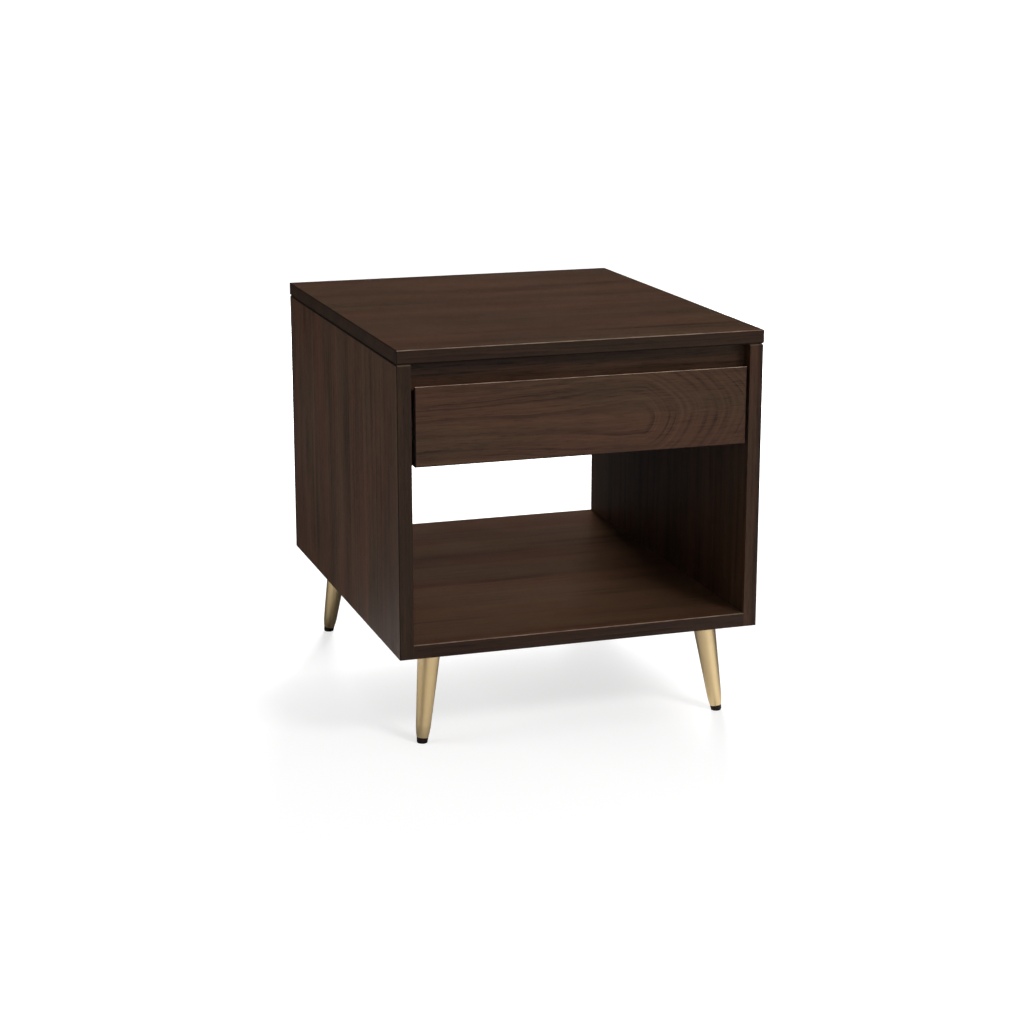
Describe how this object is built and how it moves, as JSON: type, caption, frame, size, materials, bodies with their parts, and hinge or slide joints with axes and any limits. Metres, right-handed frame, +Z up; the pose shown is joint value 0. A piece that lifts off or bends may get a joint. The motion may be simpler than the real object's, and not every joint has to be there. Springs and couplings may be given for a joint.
{
  "type": "side table with drawer",
  "caption": "Low side table with one finger-pull drawer on ball-bearing slides over an open shelf, on splayed tapered metal legs.",
  "frame": {"origin": "on the floor under the middle of the table's footprint", "axes": "+Z up, the drawer opens towards -Y, +X is the table's right as seen from the front"},
  "size_m": [0.509, 0.61, 0.543],
  "materials": {
    "walnut": "dark stained walnut veneer, satin lacquer",
    "birch": "clear-lacquered birch plywood",
    "beech": "plain turned dowel",
    "brass": "satin champagne brass plate on steel tube",
    "glide_plastic": "matt black moulded",
    "zinc_steel": "zinc-plated cold-rolled strip",
    "bearing_steel": "polished bearing balls",
    "fastener_steel": "zinc-plated"
  },
  "bodies": {
    "cabinet": {"back_left_glide": "glide_plastic", "back_left_leg": "brass", "back_left_leg_plate": "brass", "back_right_glide": "glide_plastic", "back_right_leg": "brass", "back_right_leg_plate": "brass", "bottom_cam_bolts": "fastener_steel", "bottom_cam_locks": "fastener_steel", "bottom_dowels": "beech", "bottom_panel": "walnut", "front_left_glide": "glide_plastic", "front_left_leg": "brass", "front_left_leg_plate": "brass", "front_rail": "walnut", "front_rail_dowels": "beech", "front_right_glide": "glide_plastic", "front_right_leg": "brass", "front_right_leg_plate": "brass", "left_side_panel": "walnut", "left_slide_cabinet_member": "zinc_steel", "leg_plate_screws": "brass", "rear_panel": "walnut", "rear_panel_dowels": "beech", "right_side_panel": "walnut", "right_slide_cabinet_member": "zinc_steel", "slide_cabinet_screws": "fastener_steel", "top_cam_bolts": "fastener_steel", "top_cam_locks": "fastener_steel", "top_dowels": "beech", "top_panel": "walnut"},
    "drawer": {"drawer_front": "walnut", "drawer_box_front": "birch", "drawer_left_side": "birch", "drawer_right_side": "birch", "drawer_back": "birch", "drawer_bottom": "birch", "drawer_corner_screws": "fastener_steel", "drawer_front_screws": "fastener_steel", "drawer_bottom_screws": "fastener_steel", "slide_drawer_screws": "fastener_steel", "left_slide_drawer_member": "zinc_steel", "right_slide_drawer_member": "zinc_steel"},
    "left_slide_middle": {"left_slide_middle_member": "zinc_steel"},
    "left_outer_cage": {"left_outer_ball_cage": "zinc_steel", "left_outer_balls": "bearing_steel"},
    "left_inner_cage": {"left_inner_ball_cage": "zinc_steel", "left_inner_balls": "bearing_steel"},
    "right_slide_middle": {"right_slide_middle_member": "zinc_steel"},
    "right_outer_cage": {"right_outer_ball_cage": "zinc_steel", "right_outer_balls": "bearing_steel"},
    "right_inner_cage": {"right_inner_ball_cage": "zinc_steel", "right_inner_balls": "bearing_steel"}
  },
  "joints": [
    {"name": "drawer_slide", "type": "slide", "parent": "cabinet", "child": "drawer", "axis": [0, -1, 0], "range_m": [0, 0.5]},
    {"name": "left_slide_middle_travel", "type": "slide", "parent": "cabinet", "child": "left_slide_middle", "axis": [0, -1, 0], "range_m": [0, 0.25]},
    {"name": "left_outer_cage_travel", "type": "slide", "parent": "cabinet", "child": "left_outer_cage", "axis": [0, -1, 0], "range_m": [0, 0.125]},
    {"name": "left_inner_cage_travel", "type": "slide", "parent": "cabinet", "child": "left_inner_cage", "axis": [0, -1, 0], "range_m": [0, 0.375]},
    {"name": "right_slide_middle_travel", "type": "slide", "parent": "cabinet", "child": "right_slide_middle", "axis": [0, -1, 0], "range_m": [0, 0.25]},
    {"name": "right_outer_cage_travel", "type": "slide", "parent": "cabinet", "child": "right_outer_cage", "axis": [0, -1, 0], "range_m": [0, 0.125]},
    {"name": "right_inner_cage_travel", "type": "slide", "parent": "cabinet", "child": "right_inner_cage", "axis": [0, -1, 0], "range_m": [0, 0.375]}
  ],
  "couplings": [
    {"joint": "left_slide_middle_travel", "follows": "drawer_slide", "ratio": 0.5},
    {"joint": "left_outer_cage_travel", "follows": "drawer_slide", "ratio": 0.25},
    {"joint": "left_inner_cage_travel", "follows": "drawer_slide", "ratio": 0.75},
    {"joint": "right_slide_middle_travel", "follows": "drawer_slide", "ratio": 0.5},
    {"joint": "right_outer_cage_travel", "follows": "drawer_slide", "ratio": 0.25},
    {"joint": "right_inner_cage_travel", "follows": "drawer_slide", "ratio": 0.75}
  ]
}
